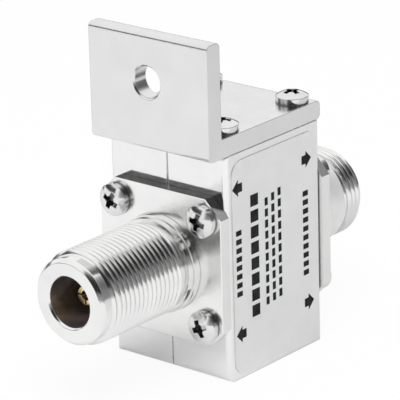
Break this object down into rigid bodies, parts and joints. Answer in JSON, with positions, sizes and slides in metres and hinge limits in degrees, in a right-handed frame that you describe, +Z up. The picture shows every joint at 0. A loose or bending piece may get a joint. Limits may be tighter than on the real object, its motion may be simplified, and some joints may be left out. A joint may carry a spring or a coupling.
{
  "type": "coaxial lightning arrestor",
  "caption": "Coaxial surge arrestor: split block body, threaded socket connectors with screwed flanges at the ends, an angle bracket on top, and a gas tube and blocking capacitor inside.",
  "frame": {"origin": "middle of the body's base, under the seam", "axes": "+Z up, -Y out of the antenna connector along the line, +X towards the label"},
  "size_m": [0.0254, 0.0678, 0.0583],
  "materials": {
    "body": "bright plated",
    "bracket": "satin plated",
    "shell": "bright white plated",
    "screw": "bright",
    "contact": "gold plated",
    "bead": "waxy white",
    "line_metal": "turned",
    "dielectric": "smooth",
    "electrode": "tinned",
    "tube_ceramic": "matt",
    "spring": "rolled",
    "label": "printed foil, plain with arrows"
  },
  "bodies": {
    "root": {"body_half_left": "body", "body_half_right": "body", "mounting_bracket": "bracket", "bracket_screws": "screw", "antenna_shell": "shell", "antenna_flange_screws": "screw", "antenna_contact": "contact", "antenna_bead": "bead", "equipment_shell": "shell", "equipment_flange_screws": "screw", "equipment_contact": "contact", "equipment_bead": "bead", "line_hub": "line_metal", "dielectric_disc": "dielectric", "equipment_plate": "line_metal", "tube_line_electrode": "electrode", "tube_ceramic": "tube_ceramic", "tube_ground_electrode": "electrode", "tube_spring": "spring", "side_label": "label"}
  },
  "joints": []
}
